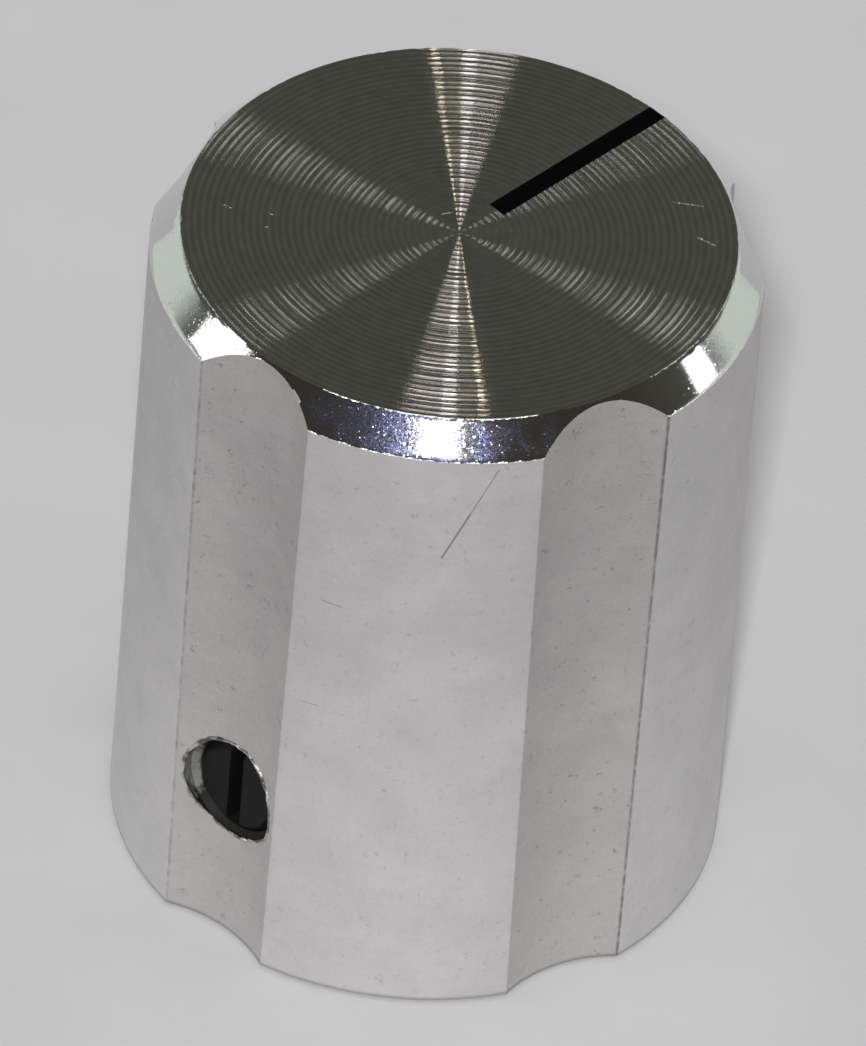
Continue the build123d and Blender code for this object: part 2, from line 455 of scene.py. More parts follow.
def bake(piece, matrix=Matrix.Identity(4)):
    """Turns a piece drawn in millimetres into a plain mesh in metres, in its place in the row's frame."""
    bpy.context.view_layer.update()
    seen = piece.evaluated_get(bpy.context.evaluated_depsgraph_get())
    mesh = bpy.data.meshes.new_from_object(seen)
    mesh.transform(Matrix.Scale(MM, 4) @ matrix)
    piece.modifiers.clear()
    piece.data = mesh
    mesh.name = piece.name


def shade(piece, crisp_over):
    """Smooth faces, with the edges over an angle in degrees kept crisp."""
    piece.data.shade_smooth()
    piece.data.set_sharp_from_angle(angle=math.radians(crisp_over))


def new_piece(name, points, edges, faces):
    """A mesh object in the scene, at the origin."""
    mesh = bpy.data.meshes.new(name)
    mesh.from_pydata(points, edges, faces)
    piece = bpy.data.objects.new(name, mesh)
    bpy.context.scene.collection.objects.link(piece)
    return piece


class Section:
    """Half of a turned section, as stations from one pole to the other, for a tree that revolves it.

    pull is how far a flute draws a station in, and lift how far it raises it along the chamfer's slope,
    each as a share of the flute's depth there. nick is the share of the edge damage that a station takes."""

    def __init__(self, radius, height):
        self.points = [(radius, height)]
        self.shares = [(0.0, 0.0, 0.0)]

    def run(self, radius, height, steps, pull=(0.0, 0.0), lift=(0.0, 0.0), nick=0.0):
        """Adds evenly spaced stations up to a new corner, and returns the corner's number."""
        r0, h0 = self.points[-1]
        for i in range(1, steps + 1):
            t = i / steps
            self.points.append((r0 + (radius - r0) * t, h0 + (height - h0) * t))
            drawn, raised = (share[0] + (share[1] - share[0]) * t for share in (pull, lift))
            self.shares.append((drawn, raised, nick if i == steps else 0.0))
        return len(self.points) - 1

    def piece(self, name):
        """The section as a chain of edges that carries its shares as attributes."""
        count = len(self.points)
        made = new_piece(
            name, [(r, 0.0, h) for r, h in self.points], [(i, i + 1) for i in range(count - 1)], []
        )
        columns = {
            "section_radius": [radius for radius, height in self.points],
            "section_height": [height for radius, height in self.points],
            "pull": [shares[0] for shares in self.shares],
            "lift": [shares[1] for shares in self.shares],
            "nick": [shares[2] for shares in self.shares],
            "station": [float(i) for i in range(count)],
        }
        for label, values in columns.items():
            made.data.attributes.new(label, "FLOAT", "POINT").data.foreach_set("value", values)
        return made


def knob_section():
    """The knob's section, from the drill's tip down the shaft hole, round the outside and in to the centre.

    Returns it with the stations at which the wall, the chamfer and the face start."""
    section = Section(0.0, shaft_hole_depth + drill_tip)
    section.run(shaft_hole_radius, shaft_hole_depth, 3)
    section.run(shaft_hole_radius, nut_recess_depth + shaft_hole_lead, 12)
    section.run(shaft_hole_radius + shaft_hole_lead, nut_recess_depth, 1)
    section.run(nut_recess_radius, nut_recess_depth, 3)
    section.run(nut_recess_radius, 0.0, 2)
    section.run(body_radius - base_edge_break, 0.0, 3, pull=(0, 1))
    break_lift = base_edge_break / chamfer_foot
    wall = section.run(body_radius, base_edge_break, 1, pull=(1, 1), lift=(0, break_lift))
    chamfer = section.run(body_radius, chamfer_foot, 10, pull=(1, 1), lift=(break_lift, 1), nick=1.0)
    face = section.run(face_radius, body_height, 8, pull=(1, 0), lift=(1, 0), nick=1.0)
    draw = random.Random(5)
    for ring in range(round(face_radius / ring_pitch)):
        outer = face_radius - ring * ring_pitch
        depth = ring_depth * draw.uniform(0.85, 1.15)
        for t in (0.25, 0.5, 0.75):
            section.run(outer - ring_pitch * t, body_height - depth * 4 * t * (1 - t), 1)
        section.run(max(outer - ring_pitch, 0.0), body_height, 1)
    return section, wall, chamfer, face


def revolve_nodes(tree, inputs, columns, names):
    """The start of every turned tree: the section swept round a circle of so many columns.

    Returns the mesh, and fields for those of its attributes that are named."""
    section = add_node(tree, "GeometryNodeMeshToCurve", {"Mesh": inputs["Geometry"]})
    circle = add_node(tree, "GeometryNodeCurvePrimitiveCircle", {"Resolution": columns, "Radius": 100.0})
    number = add_node(tree, "GeometryNodeInputIndex")
    numbered = add_node(
        tree,
        "GeometryNodeStoreNamedAttribute",
        {"Geometry": circle, "Name": "column", "Value": number},
        data_type="FLOAT",
        domain="POINT",
    )
    swept = add_node(tree, "GeometryNodeCurveToMesh", {"Curve": numbered, "Profile Curve": section})
    fields = {
        name: add_node(tree, "GeometryNodeInputNamedAttribute", {"Name": name}, data_type="FLOAT")
        for name in names
    }
    return swept, fields


def place_nodes(tree, mesh, radius, angle, height):
    """Sets each vertex by its radius, angle and height, closes the poles and turns the faces outwards."""
    cosine = add_node(tree, "ShaderNodeMath", (angle,), operation="COSINE")
    sine = add_node(tree, "ShaderNodeMath", (angle,), operation="SINE")
    x = add_node(tree, "ShaderNodeMath", (radius, cosine), operation="MULTIPLY")
    y = add_node(tree, "ShaderNodeMath", (radius, sine), operation="MULTIPLY")
    spot = add_node(tree, "ShaderNodeCombineXYZ", (x, y, height))
    moved = add_node(tree, "GeometryNodeSetPosition", {"Geometry": mesh, "Position": spot})
    closed = add_node(tree, "GeometryNodeMergeByDistance", {"Geometry": moved, "Distance": 1e-4})
    return add_node(tree, "GeometryNodeFlipFaces", {"Mesh": closed})


def flute_tree(sizes):
    """Revolves the knob's section and draws the flutes in.

    The columns crowd to the edges of the flutes, so that each edge is a line of the mesh. Inside a flute the
    wall lies on the cutter's cylinder, whose axis leans in towards the top, and the chamfer's foot climbs its
    cone to meet the wall."""
    hair = 0.1  # of the way from one column to the next
    tree, inputs = new_tree("flute_the_knob", sizes)
    flute_steps = inputs["Columns in a flute"]
    body = inputs["Body radius"]
    per_flute = add_node(tree, "ShaderNodeMath", (flute_steps, inputs["Columns in a lobe"]), operation="ADD")
    columns = add_node(tree, "ShaderNodeMath", (per_flute, inputs["Flutes"]), operation="MULTIPLY")
    names = ("column", "station", "section_radius", "section_height", "pull", "lift", "nick")
    mesh, fields = revolve_nodes(tree, inputs, columns, names)
    height = fields["section_height"]
    number = add_node(tree, "ShaderNodeMath", (fields["column"], per_flute), operation="DIVIDE")
    number = add_node(tree, "ShaderNodeMath", (number,), operation="FLOOR")
    step = add_node(tree, "ShaderNodeMath", (fields["column"], per_flute), operation="MODULO")

    # The cutter's distance at this height, and half the angle that the flute takes there
    reach = add_node(
        tree,
        "ShaderNodeMapRange",
        (height, 0.0, inputs["Chamfer foot"], inputs["Cutter at base"], inputs["Cutter at chamfer"]),
        clamp=False,
    )
    body_squared, cutter_squared, reach_squared = (
        add_node(tree, "ShaderNodeMath", (length, 2.0), operation="POWER")
        for length in (body, inputs["Cutter radius"], reach)
    )
    share = add_node(tree, "ShaderNodeMath", (body_squared, reach_squared), operation="ADD")
    share = add_node(tree, "ShaderNodeMath", (share, cutter_squared), operation="SUBTRACT")
    span = add_node(tree, "ShaderNodeMath", (body, reach), operation="MULTIPLY")
    span = add_node(tree, "ShaderNodeMath", (span, 2.0), operation="MULTIPLY")
    half = add_node(tree, "ShaderNodeMath", (share, span), operation="DIVIDE")
    half = add_node(tree, "ShaderNodeMath", (half,), operation="ARCCOSINE")

    # The column's angle: across the flute first, then across the lobe beside it
    pitch = add_node(tree, "ShaderNodeMath", (math.tau, inputs["Flutes"]), operation="DIVIDE")
    first = add_node(tree, "ShaderNodeMath", (half, -1.0), operation="MULTIPLY")
    in_flute = add_node(tree, "ShaderNodeMapRange", (step, 0.0, flute_steps, first, half))
    lobe = add_node(tree, "ShaderNodeMath", (half, 2.0), operation="MULTIPLY")
    lobe = add_node(tree, "ShaderNodeMath", (pitch, lobe), operation="SUBTRACT")
    in_lobe = add_node(tree, "ShaderNodeMapRange", (step, flute_steps, per_flute, 0.0, lobe))
    turned = add_node(tree, "ShaderNodeMath", (number, pitch), operation="MULTIPLY")
    angle = add_node(tree, "ShaderNodeMath", (in_flute, in_lobe), operation="ADD")
    angle = add_node(tree, "ShaderNodeMath", (angle, turned), operation="ADD")
    angle = add_node(tree, "ShaderNodeMath", (angle, math.pi / 2), operation="SUBTRACT")

    # How deep the flute is here: the near side of the cutter's circle along this angle
    sine = add_node(tree, "ShaderNodeMath", (in_flute,), operation="SINE")
    cosine = add_node(tree, "ShaderNodeMath", (in_flute,), operation="COSINE")
    across = add_node(tree, "ShaderNodeMath", (reach, sine), operation="MULTIPLY")
    along = add_node(tree, "ShaderNodeMath", (reach, cosine), operation="MULTIPLY")
    across_squared = add_node(tree, "ShaderNodeMath", (across, 2.0), operation="POWER")
    rest = add_node(tree, "ShaderNodeMath", (cutter_squared, across_squared), operation="SUBTRACT")
    rest = add_node(tree, "ShaderNodeMath", (rest,), operation="SQRT")
    wall = add_node(tree, "ShaderNodeMath", (along, rest), operation="SUBTRACT")
    depth = add_node(tree, "ShaderNodeMath", (body, wall), operation="SUBTRACT")
    depth = add_node(tree, "ShaderNodeMath", (depth, 0.0), operation="MAXIMUM")

    # Small knocks along the chamfer's two edges
    scale = add_node(tree, "ShaderNodeMath", (1.0, inputs["Nick size"]), operation="DIVIDE")
    spot = add_node(tree, "GeometryNodeInputPosition")
    noise = add_node(
        tree,
        "ShaderNodeTexNoise",
        {"Vector": spot, "W": inputs["Nick seed"], "Scale": scale, "Detail": 2.0},
        noise_dimensions="4D",
    )
    knock = add_node(tree, "ShaderNodeMapRange", (noise, 0.58, 0.8, 0.0, inputs["Nick depth"]))
    knock = add_node(tree, "ShaderNodeMath", (knock, fields["nick"]), operation="MULTIPLY")

    pulled = add_node(tree, "ShaderNodeMath", (depth, fields["pull"]), operation="MULTIPLY")
    radius = add_node(tree, "ShaderNodeMath", (fields["section_radius"], pulled), operation="SUBTRACT")
    radius = add_node(tree, "ShaderNodeMath", (radius, knock), operation="SUBTRACT")
    rise = add_node(tree, "ShaderNodeMath", (depth, inputs["Chamfer slope"]), operation="MULTIPLY")
    rise = add_node(tree, "ShaderNodeMath", (rise, fields["lift"]), operation="MULTIPLY")
    level = add_node(tree, "ShaderNodeMath", (height, rise), operation="ADD")
    geometry = place_nodes(tree, mesh, radius, angle, level)

    # Which faces the cutter made, which corners lie on a flute's edge, and how much dirt each edge holds
    cut = add_node(tree, "ShaderNodeMath", (step, flute_steps), operation="LESS_THAN")
    at_first = add_node(tree, "ShaderNodeMath", (step, 0.0, hair), operation="COMPARE")
    at_last = add_node(tree, "ShaderNodeMath", (step, flute_steps, hair), operation="COMPARE")
    on_edge = add_node(tree, "ShaderNodeMath", (at_first, at_last), operation="ADD")
    odd = add_node(tree, "ShaderNodeMath", (number, 2.0), operation="MODULO")
    even = add_node(tree, "ShaderNodeMath", (1.0, odd), operation="SUBTRACT")
    least = inputs["Least edge dirt"]
    first_share = add_node(tree, "ShaderNodeMath", (even, 0.3, least), operation="MULTIPLY_ADD")
    last_share = add_node(tree, "ShaderNodeMath", (odd, 0.6, least), operation="MULTIPLY_ADD")
    filled = add_node(tree, "ShaderNodeMath", (at_first, first_share), operation="MULTIPLY")
    filled = add_node(tree, "ShaderNodeMath", (at_last, last_share, filled), operation="MULTIPLY_ADD")

    # The cutter ran out clean through the chamfer, so the arcs it left there are neither soft nor knocked
    past_first = add_node(tree, "ShaderNodeMath", (step, hair), operation="GREATER_THAN")
    last = add_node(tree, "ShaderNodeMath", (flute_steps, hair), operation="SUBTRACT")
    before_last = add_node(tree, "ShaderNodeMath", (step, last), operation="LESS_THAN")
    inside = add_node(tree, "ShaderNodeMath", (past_first, before_last), operation="MULTIPLY")
    on_lobe = add_node(tree, "ShaderNodeMath", (1.0, inside), operation="SUBTRACT")
    nicked = add_node(tree, "ShaderNodeMath", (fields["nick"], on_lobe), operation="MULTIPLY")
    fold = add_node(tree, "GeometryNodeInputMeshEdgeAngle")
    sharp = add_node(tree, "ShaderNodeMath", (fold, inputs["Sharp over"]), operation="GREATER_THAN")
    face = inputs["Face station"]
    outside = add_node(tree, "ShaderNodeMath", (fields["station"], face), operation="LESS_THAN")
    softened = add_node(tree, "ShaderNodeMath", (sharp, outside), operation="MULTIPLY")
    softened = add_node(tree, "ShaderNodeMath", (softened, on_lobe), operation="MULTIPLY")
    for label, value, domain in (
        ("flute_edge", on_edge, "CORNER"),
        ("edge_dirt", filled, "CORNER"),
        ("in_flute", cut, "FACE"),
        ("nick", nicked, "POINT"),
        ("bevel_weight_edge", softened, "EDGE"),
    ):
        geometry = add_node(
            tree,
            "GeometryNodeStoreNamedAttribute",
            {"Geometry": geometry, "Name": label, "Value": value},
            data_type="FLOAT",
            domain=domain,
        )
    return end_tree(tree, geometry)


def zone_tree(sizes):
    """Gives each stretch of the section its finish, by the stations that it runs between."""
    tree, inputs = new_tree("finish_by_zone", sizes)
    station, in_flute = (
        add_node(tree, "GeometryNodeInputNamedAttribute", {"Name": name}, data_type="FLOAT")
        for name in ("station", "in_flute")
    )
    on_wall, milled, on_chamfer, on_face = (
        add_node(tree, "FunctionNodeCompare", {"A": field, "B": start}, operation="GREATER_THAN")
        for field, start in (
            (station, inputs["Wall starts"]),
            (in_flute, 0.5),
            (station, inputs["Chamfer starts"]),
            (station, inputs["Face starts"]),
        )
    )
    milled = add_node(tree, "FunctionNodeBooleanMath", (milled, on_wall))
    geometry = add_node(
        tree, "GeometryNodeSetMaterial", {"Geometry": inputs["Geometry"], "Material": inputs["Bored"]}
    )
    for selection, finish in (
        (on_wall, inputs["Turned"]),
        (milled, inputs["Milled"]),
        (on_chamfer, inputs["Bright cut"]),
        (on_face, inputs["Spun"]),
    ):
        geometry = add_node(
            tree,
            "GeometryNodeSetMaterial",
            {"Geometry": geometry, "Selection": selection, "Material": finish},
        )
    return end_tree(tree, geometry)


def cut_tree(sizes):
    """Cuts the set screw's hole and the pointer groove out of the fluted knob, and lays the hole's burr."""
    rod_length, tool_start, clear_way, groove_length = 3.0, 0.5, 5.0, 12.0
    tree, inputs = new_tree("cut_hole_and_groove", sizes)
    hole, mouth, centre = inputs["Hole radius"], inputs["Mouth radius"], inputs["Hole height"]
    floor = inputs["Floor at hole"]
    position = add_node(tree, "GeometryNodeInputPosition")
    spot = add_node(tree, "ShaderNodeSeparateXYZ", (position,)).outputs

    # The hole's tool lies along -Y. Its four rows of points are moved to the drilled length, the countersink
    # that ends on the flute's floor, and a clear way out past the flute's edges.
    sink = add_node(tree, "ShaderNodeMath", (mouth, hole), operation="SUBTRACT")
    sink_start = add_node(tree, "ShaderNodeMath", (floor, sink), operation="SUBTRACT")
    clear = add_node(tree, "ShaderNodeMath", (floor, clear_way), operation="ADD")
    rows = ((hole, tool_start), (hole, sink_start), (mouth, floor), (mouth, clear))
    rod = add_node(
        tree,
        "GeometryNodeMeshCylinder",
        {"Vertices": 96, "Side Segments": 3, "Radius": 1.0, "Depth": rod_length},
    )
    row = add_node(tree, "ShaderNodeMath", (spot["Z"], rod_length / 2), operation="ADD")
    radius, reach = 0.0, 0.0
    for number, (row_radius, row_reach) in enumerate(rows):
        here = add_node(tree, "ShaderNodeMath", (row, float(number), 0.1), operation="COMPARE")
        radius = add_node(tree, "ShaderNodeMath", (here, row_radius, radius), operation="MULTIPLY_ADD")
        reach = add_node(tree, "ShaderNodeMath", (here, row_reach, reach), operation="MULTIPLY_ADD")
    x = add_node(tree, "ShaderNodeMath", (spot["X"], radius), operation="MULTIPLY")
    y = add_node(tree, "ShaderNodeMath", (reach, -1.0), operation="MULTIPLY")
    z = add_node(tree, "ShaderNodeMath", (spot["Y"], radius, centre), operation="MULTIPLY_ADD")
    placed = add_node(tree, "ShaderNodeCombineXYZ", (x, y, z))
    drill = add_node(tree, "GeometryNodeSetPosition", {"Geometry": rod, "Position": placed})

    # The groove is a box, from its square inner end out past the rim
    twice_depth = add_node(tree, "ShaderNodeMath", (inputs["Groove depth"], 2.0), operation="MULTIPLY")
    size = add_node(tree, "ShaderNodeCombineXYZ", (groove_length, inputs["Groove width"], twice_depth))
    box = add_node(tree, "GeometryNodeMeshCube", {"Size": size})
    middle = add_node(tree, "ShaderNodeMath", (inputs["Groove start"], groove_length / 2), operation="ADD")
    middle = add_node(tree, "ShaderNodeCombineXYZ", {"X": middle})
    slid = add_node(tree, "GeometryNodeTransform", {"Geometry": box, "Translation": middle})
    turn = add_node(tree, "ShaderNodeCombineXYZ", {"Z": inputs["Groove angle"]})
    lift = add_node(tree, "ShaderNodeCombineXYZ", {"Z": inputs["Knob height"]})
    slot = add_node(
        tree, "GeometryNodeTransform", {"Geometry": slid, "Translation": lift, "Rotation": turn}
    )
    geometry = inputs["Geometry"]
    for tool in (drill, slot):
        finished = add_node(
            tree, "GeometryNodeSetMaterial", {"Geometry": tool, "Material": inputs["Groove finish"]}
        )
        geometry = add_node(
            tree,
            "GeometryNodeMeshBoolean",
            {"Mesh 1": geometry, "Mesh 2": finished},
            operation="DIFFERENCE",
            solver="MANIFOLD",
        )

    # The faces that the drill and the countersink left are known by how near they lie to the hole's axis, and
    # the flute's own floor beside them by how squarely it looks along -Y
    over = add_node(tree, "ShaderNodeMath", (spot["Z"], centre), operation="SUBTRACT")
    aside_squared, over_squared = (
        add_node(tree, "ShaderNodeMath", (offset, 2.0), operation="POWER") for offset in (spot["X"], over)
    )
    off_axis = add_node(tree, "ShaderNodeMath", (aside_squared, over_squared), operation="ADD")
    off_axis = add_node(tree, "ShaderNodeMath", (off_axis,), operation="SQRT")
    sink_zone = add_node(tree, "ShaderNodeMath", (1.0, floor), operation="SUBTRACT")
    at_mouth = add_node(tree, "ShaderNodeMath", (spot["Y"], sink_zone), operation="LESS_THAN")
    limit = add_node(tree, "ShaderNodeMath", (at_mouth, sink, hole), operation="MULTIPLY_ADD")
    limit = add_node(tree, "ShaderNodeMath", (limit, 5e-4), operation="SUBTRACT")
    near = add_node(tree, "ShaderNodeMath", (off_axis, limit), operation="LESS_THAN")
    this_side = add_node(tree, "ShaderNodeMath", (spot["Y"], 0.0), operation="LESS_THAN")
    drilled = add_node(tree, "ShaderNodeMath", (near, this_side), operation="MULTIPLY")
    normal = add_node(tree, "GeometryNodeInputNormal")
    outwards = add_node(tree, "ShaderNodeSeparateXYZ", (normal,)).outputs["Y"]
    aslant = add_node(tree, "ShaderNodeMath", (outwards, -0.82), operation="GREATER_THAN")
    drilled = add_node(tree, "ShaderNodeMath", (drilled, aslant), operation="MULTIPLY")
    drilled = add_node(tree, "ShaderNodeMath", (drilled, 0.5), operation="GREATER_THAN")
    geometry = add_node(
        tree,
        "GeometryNodeSetMaterial",
        {"Geometry": geometry, "Selection": drilled, "Material": inputs["Tapped finish"]},
    )

    # The burr runs round the hole's mouth on the flute's surface, ragged and of uneven thickness
    ring = add_node(tree, "GeometryNodeCurvePrimitiveCircle", {"Resolution": 160, "Radius": mouth})
    torn = add_node(
        tree,
        "ShaderNodeTexNoise",
        {"Vector": position, "W": inputs["Burr seed"], "Scale": 1.6, "Detail": 4.0, "Roughness": 0.7},
        noise_dimensions="4D",
    )
    swell = add_node(tree, "ShaderNodeMapRange", (torn, 0.3, 0.7, 0.25, 1.5))
    outwards = add_node(tree, "ShaderNodeMath", (torn, 0.45), operation="SUBTRACT")
    outwards = add_node(tree, "ShaderNodeMath", (outwards, 0.16), operation="MULTIPLY")
    outwards = add_node(tree, "ShaderNodeMath", (1.0, outwards), operation="ADD")
    x = add_node(tree, "ShaderNodeMath", (spot["X"], outwards), operation="MULTIPLY")
    z = add_node(tree, "ShaderNodeMath", (spot["Y"], outwards), operation="MULTIPLY")
    z = add_node(tree, "ShaderNodeMath", (z, centre), operation="ADD")
    cutter_squared, x_squared = (
        add_node(tree, "ShaderNodeMath", (length, 2.0), operation="POWER")
        for length in (inputs["Cutter radius"], x)
    )
    rest = add_node(tree, "ShaderNodeMath", (cutter_squared, x_squared), operation="SUBTRACT")
    rest = add_node(tree, "ShaderNodeMath", (rest,), operation="SQRT")
    bulge = add_node(tree, "ShaderNodeMath", (inputs["Cutter radius"], rest), operation="SUBTRACT")
    y = add_node(tree, "ShaderNodeMath", (floor, bulge), operation="ADD")
    y = add_node(tree, "ShaderNodeMath", (y, -1.0), operation="MULTIPLY")
    on_flute = add_node(tree, "ShaderNodeCombineXYZ", (x, y, z))
    laid = add_node(tree, "GeometryNodeSetPosition", {"Geometry": ring, "Position": on_flute})
    bead = add_node(
        tree, "GeometryNodeCurvePrimitiveCircle", {"Resolution": 7, "Radius": inputs["Burr thickness"]}
    )
    burr = add_node(
        tree, "GeometryNodeCurveToMesh", {"Curve": laid, "Profile Curve": bead, "Scale": swell}
    )
    burr = add_node(
        tree, "GeometryNodeSetMaterial", {"Geometry": burr, "Material": inputs["Burr finish"]}
    )
    joined = add_node(tree, "GeometryNodeJoinGeometry", {"Geometry": burr})
    feed(joined, {"Geometry": geometry})
    return end_tree(tree, joined)


def flute_floor(height):
    """The distance from the knob's axis to the floor of a flute, at a height."""
    slope = (cutter_at_foot - cutter_at_base) / chamfer_foot
    return cutter_at_base + slope * height - cutter_radius


def make_knob(finishes):
    """The knob itself, in one piece: satin wall and flutes, bright chamfer, spun face and bored underside."""
    section, wall, chamfer, face = knob_section()
    flutes = {
        "Flutes": flute_count,
        "Columns in a flute": 22,
        "Columns in a lobe": 42,
        "Body radius": body_radius,
        "Cutter radius": cutter_radius,
        "Cutter at base": cutter_at_base,
        "Cutter at chamfer": cutter_at_foot,
        "Chamfer foot": chamfer_foot,
        "Chamfer slope": chamfer_slope,
        "Nick depth": 0.09,
        "Nick size": 0.55,
        "Nick seed": 3.0,
        "Sharp over": math.radians(24),
        "Face station": face + 0.5,
        "Least edge dirt": 0.4,
    }
    zones = {
        "Wall starts": float(wall - 1),  # with the broken edge at its foot
        "Chamfer starts": float(chamfer),
        "Face starts": float(face),
        "Bored": finishes["bored"],
        "Turned": finishes["turned"],
        "Milled": finishes["milled"],
        "Bright cut": finishes["bright_cut"],
        "Spun": finishes["spun"],
    }
    cuts = {
        "Hole radius": screw_hole_radius,
        "Mouth radius": screw_hole_mouth,
        "Floor at hole": flute_floor(screw_height),
        "Hole height": screw_height,
        "Groove start": pointer_start,
        "Groove width": pointer_width,
        "Groove depth": groove_depth,
        "Groove angle": pointer_angle,
        "Knob height": body_height,
        "Cutter radius": cutter_radius,
        "Burr thickness": burr_thickness,
        "Burr seed": 4.0,
        "Groove finish": finishes["bored"],
        "Tapped finish": finishes["tapped"],
        "Burr finish": finishes["torn"],
    }
    piece = section.piece("knob")
    wear_tree(piece, flute_tree(flutes), flutes)
    wear_tree(piece, zone_tree(zones), zones)
    soften = piece.modifiers.new("soft edges", "BEVEL")
    soften.limit_method = "WEIGHT"
    soften.width = edge_softness
    soften.segments = 2
    wear_tree(piece, cut_tree(cuts), cuts)
    bake(piece)
    shade(piece, 20)
    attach(piece, "root")
    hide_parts("knob_body")


def screw_tree(sizes):
    """Turns the set screw's section, winds its thread and cuts its slot. It stands on its outer face."""
    tree, inputs = new_tree("thread_the_screw", sizes)
    names = ("column", "section_radius", "section_height", "pull")
    mesh, fields = revolve_nodes(tree, inputs, inputs["Columns"], names)
    turn = add_node(tree, "ShaderNodeMath", (fields["column"], inputs["Columns"]), operation="DIVIDE")
    angle = add_node(tree, "ShaderNodeMath", (turn, math.tau), operation="MULTIPLY")
    height = fields["section_height"]
    wound = add_node(tree, "ShaderNodeMath", (height, inputs["Thread pitch"]), operation="DIVIDE")
    wound = add_node(tree, "ShaderNodeMath", (wound, turn), operation="ADD")
    groove = add_node(tree, "ShaderNodeMath", (wound, 0.5), operation="PINGPONG")
    groove = add_node(tree, "ShaderNodeMath", (groove, 2.0), operation="MULTIPLY")
    cut = add_node(tree, "ShaderNodeMath", (groove, inputs["Thread depth"]), operation="MULTIPLY")
    cut = add_node(tree, "ShaderNodeMath", (cut, fields["pull"]), operation="MULTIPLY")
    radius = add_node(tree, "ShaderNodeMath", (fields["section_radius"], cut), operation="SUBTRACT")
    turned = place_nodes(tree, mesh, radius, angle, height)
    slot_length = add_node(tree, "ShaderNodeMath", (inputs["Screw radius"], 3.0), operation="MULTIPLY")
    twice_depth = add_node(tree, "ShaderNodeMath", (inputs["Slot depth"], 2.0), operation="MULTIPLY")
    size = add_node(tree, "ShaderNodeCombineXYZ", (inputs["Slot width"], slot_length, twice_depth))
    box = add_node(tree, "GeometryNodeMeshCube", {"Size": size})
    slotted = add_node(
        tree,
        "GeometryNodeMeshBoolean",
        {"Mesh 1": turned, "Mesh 2": box},
        operation="DIFFERENCE",
        solver="MANIFOLD",
    )
    return end_tree(tree, slotted, inputs["Finish"])


def make_screw(finish):
    """The set screw, outer face first, then turned to lie along -Y at its height."""
    section = Section(0.0, 0.0)
    section.run(screw_radius - screw_bevel, 0.0, 3)
    section.run(screw_radius, screw_bevel, 2)
    section.run(screw_radius, screw_bevel + thread_run_in, 4, pull=(0, 1))
    section.run(screw_radius, screw_length - thread_run_out, 40, pull=(1, 1))
    section.run(cup_radius + cup_lip, screw_length, 6, pull=(1, 0))
    section.run(cup_radius, screw_length, 1)
    section.run(0.0, screw_length - cup_depth, 3)
    sizes = {
        "Columns": 64,
        "Thread pitch": thread_pitch,
        "Thread depth": thread_depth,
        "Slot width": slot_width,
        "Slot depth": slot_depth,
        "Screw radius": screw_radius,
        "Finish": finish,
    }
    piece = section.piece("set_screw_threaded")
    wear_tree(piece, screw_tree(sizes), sizes)
    outer_face = -(flute_floor(screw_height) - screw_sunk)
    lie_down = Matrix.Translation((0.0, outer_face, screw_height)) @ Matrix.Rotation(-math.pi / 2, 4, "X")
    bake(piece, lie_down)
    shade(piece, 35)
    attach(piece, "root")
    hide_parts("set_screw")


def make_pointer_fill(finish):
    """The enamel strip in the groove, with a top that sags a little between its walls."""
    columns, rows = 60, 12
    half = pointer_width / 2
    top = body_height - fill_below_face
    bottom = body_height - groove_depth
    top_end = face_radius + fill_below_face / chamfer_slope
    bottom_end = face_radius + groove_depth / chamfer_slope
    points = []
    for i in range(columns + 1):
        along = pointer_start + (top_end - pointer_start) * i / columns
        for j in range(rows + 1):
            across = -1 + 2 * j / rows
            points.append((along, across * half, top - fill_sag * (1 - across**2)))
    base = len(points)
    corners = ((pointer_start, -half), (bottom_end, -half), (bottom_end, half), (pointer_start, half))
    points += [(x, y, bottom) for x, y in corners]

    row = rows + 1
    starts = [i * row + j for i in range(columns) for j in range(rows)]
    faces = [(a, a + row, a + row + 1, a + 1) for a in starts]
    near = range(0, base, row)
    far = range(rows, base, row)
    inner_end = range(row)
    outer_end = range(columns * row, base)
    faces += [
        (base, base + 3, base + 2, base + 1),
        (base, base + 1, *reversed(near)),
        (base + 2, base + 3, *far),
        (base + 3, base, *inner_end),
        (base + 1, base + 2, *reversed(outer_end)),
    ]
    piece = new_piece("pointer_line", points, [], faces)
    piece.data.materials.append(finish)
    bake(piece, Matrix.Rotation(pointer_angle, 4, "Z"))
    shade(piece, 30)
    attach(piece, "root")
    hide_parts("pointer_fill")


def make_floor(finish):
    """A wide sheet of pale paper for the knob to stand on."""
    corners = [(x * floor_half, y * floor_half, 0) for x, y in ((-1, -1), (1, -1), (1, 1), (-1, 1))]
    floor = new_piece("floor", corners, [], [(0, 1, 2, 3)])
    floor.data.materials.append(finish)


def direction(plan_angle, elevation):
    """A direction from the knob, by its angle in the photograph's plan: 0 is right, 270 to the camera."""
    a = math.radians(plan_angle + view_azimuth)
    e = math.radians(elevation)
    return Vector((math.cos(a) * math.cos(e), math.sin(a) * math.cos(e), math.sin(e)))


def add_area_lamp(name, matrix, width, length, radiance, colour):
    """A rectangle of light. Its radiance is what a mirror would show of it, where 1 is white."""
    data = bpy.data.lights.new(name, "AREA")
    data.shape = "RECTANGLE"
    data.size, data.size_y = width, length
    data.energy = radiance * math.pi * width * length
    data.color = linear(colour)[:3]
    lamp = bpy.data.objects.new(name, data)
    lamp.matrix_world = matrix
    bpy.context.scene.collection.objects.link(lamp)


def add_soft_box(name, place, width, length, radiance):
    """A white lamp that faces the knob."""
    facing = place.to_track_quat("Z", "Y").to_matrix().to_4x4()
    matrix = Matrix.Translation(place + Vector((0, 0, look_at_height))) @ facing
    add_area_lamp(name, matrix, width, length, radiance, "#FFFFFF")


